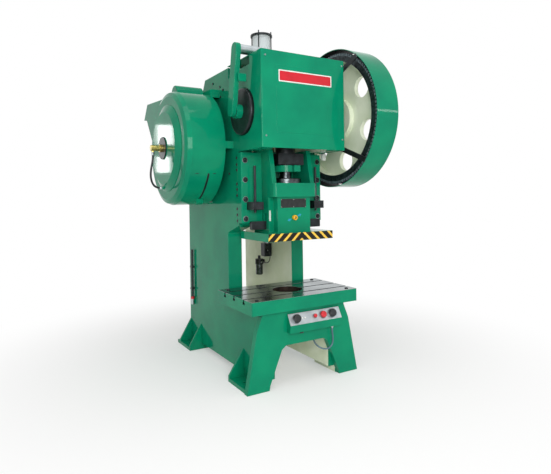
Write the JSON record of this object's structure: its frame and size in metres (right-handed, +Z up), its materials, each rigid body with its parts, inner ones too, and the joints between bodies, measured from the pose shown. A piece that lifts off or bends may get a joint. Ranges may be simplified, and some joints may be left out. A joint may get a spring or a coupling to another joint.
{
  "type": "open-front mechanical power press",
  "caption": "Open-front mechanical power press with a crank-driven slide, T-slotted bolster, geared crank wheel, guarded flywheel and two-hand control box.",
  "frame": {"origin": "on the floor, at the centre of the four anchor bolt holes", "axes": "+Z up, -Y towards the operator at the front, +X to the operator's right, X = 0 on the centreline of the slide"},
  "size_m": [1.6676, 2.3569, 2.985],
  "materials": {
    "enamel_green": "satin",
    "cream_enamel": "satin",
    "machined_steel": "brushed",
    "oiled_steel": "satin",
    "cast_bronze": "satin",
    "brass": "satin",
    "aluminium": "satin",
    "clear_acrylic": "gloss",
    "black_rubber": "satin",
    "grey_hose": "satin",
    "black_plastic": "satin",
    "red_plastic": "gloss",
    "yellow_plastic": "gloss",
    "white_plastic": "gloss"
  },
  "bodies": {
    "frame": {"left_cheek": "enamel_green", "right_cheek": "enamel_green", "front_leg": "enamel_green", "feet": "enamel_green", "bed_deck": "enamel_green", "frame_ties": "enamel_green", "bolster": "machined_steel", "right_gib": "enamel_green", "left_gib": "enamel_green", "frame_screws": "oiled_steel", "knockout_stops": "oiled_steel", "shaft_bearings": "cast_bronze", "bearing_caps": "oiled_steel", "motor": "enamel_green", "motor_bracket": "enamel_green", "belt_guard": "enamel_green", "flywheel_guard": "enamel_green", "clutch_cover": "enamel_green", "rotary_union": "brass", "guard_arm": "enamel_green", "gear_guard": "enamel_green", "guard_straps": "oiled_steel", "crown_cover": "enamel_green", "chain_cover": "enamel_green", "chain": "oiled_steel", "cam_switch": "aluminium", "tank_frame": "oiled_steel", "tank_glass": "clear_acrylic", "control_box": "enamel_green", "control_fascia": "aluminium", "air_valve": "oiled_steel", "air_filter": "oiled_steel", "inlet_pipe": "black_rubber", "clutch_hose": "black_rubber", "control_hose": "grey_hose", "filter_hose": "black_rubber", "hose_gland": "aluminium", "lamp": "white_plastic", "v_belts": "black_rubber"},
    "crank": {"crankshaft": "machined_steel", "crank_nut": "oiled_steel", "main_gear": "cream_enamel"},
    "countershaft": {"countershaft": "machined_steel", "clutch_disc": "oiled_steel"},
    "flywheel": {"flywheel": "oiled_steel"},
    "motor_rotor": {"motor_pulley": "oiled_steel"},
    "camshaft": {"camshaft": "oiled_steel"},
    "slide": {"slide": "enamel_green", "ball_nut": "oiled_steel"},
    "connecting_rod": {"connecting_rod": "oiled_steel", "big_end_cap": "oiled_steel", "cap_bolts": "machined_steel", "ball_screw": "machined_steel", "screw_clamp": "enamel_green"},
    "knockout_bar": {"knockout_bar": "oiled_steel"},
    "lock_knob": {"lock_knob": "yellow_plastic"},
    "left_palm_button": {"left_palm_button": "black_plastic"},
    "right_palm_button": {"right_palm_button": "black_plastic"},
    "inch_button": {"inch_button": "red_plastic"},
    "emergency_button": {"emergency_button": "red_plastic"}
  },
  "joints": [
    {"name": "crank_turn", "type": "hinge", "parent": "frame", "child": "crank", "pos_m": [0, -0.539, 2.172], "axis": [1, 0, 0], "continuous": true},
    {"name": "countershaft_spin", "type": "hinge", "parent": "frame", "child": "countershaft", "pos_m": [0, 0.16413, 1.92577], "axis": [1, 0, 0], "continuous": true},
    {"name": "cam_spin", "type": "hinge", "parent": "frame", "child": "camshaft", "pos_m": [0, -0.625, 2.648], "axis": [1, 0, 0], "continuous": true},
    {"name": "flywheel_spin", "type": "hinge", "parent": "frame", "child": "flywheel", "pos_m": [-0.61, 0.16413, 1.92577], "axis": [1, 0, 0], "continuous": true},
    {"name": "motor_spin", "type": "hinge", "parent": "frame", "child": "motor_rotor", "pos_m": [-0.61, 1.05, 2.4], "axis": [1, 0, 0], "continuous": true},
    {"name": "slide_stroke", "type": "slide", "parent": "frame", "child": "slide", "axis": [0, 0, 1], "range_m": [-0.12, 0]},
    {"name": "rod_swing", "type": "hinge", "parent": "slide", "child": "connecting_rod", "pos_m": [0, -0.539, 1.565], "axis": [1, 0, 0], "range_deg": [-5.1, 5.1]},
    {"name": "knockout_lift", "type": "slide", "parent": "slide", "child": "knockout_bar", "axis": [0, 0, 1], "range_m": [0, 0.06]},
    {"name": "lock_knob_turn", "type": "hinge", "parent": "slide", "child": "lock_knob", "pos_m": [0, -0.677, 1.31], "axis": [0, -1, 0], "range_deg": [0, 90]},
    {"name": "left_palm_press", "type": "slide", "parent": "frame", "child": "left_palm_button", "axis": [0, 0.8767, -0.4811], "range_m": [0, 0.006], "stiffness_N_per_m": 900, "springref_m": -0.004},
    {"name": "right_palm_press", "type": "slide", "parent": "frame", "child": "right_palm_button", "axis": [0, 0.8767, -0.4811], "range_m": [0, 0.006], "stiffness_N_per_m": 900, "springref_m": -0.004},
    {"name": "inch_press", "type": "slide", "parent": "frame", "child": "inch_button", "axis": [0, 0.8767, -0.4811], "range_m": [0, 0.006], "stiffness_N_per_m": 500, "springref_m": -0.004},
    {"name": "emergency_press", "type": "slide", "parent": "frame", "child": "emergency_button", "axis": [0, 0.8767, -0.4811], "range_m": [0, 0.006], "stiffness_N_per_m": 900, "springref_m": -0.004}
  ],
  "couplings": [
    {"joint": "countershaft_spin", "follows": "crank_turn", "ratio": -3.2571},
    {"joint": "cam_spin", "follows": "crank_turn", "ratio": 1},
    {"joint": "motor_spin", "follows": "flywheel_spin", "ratio": 8.2857}
  ]
}
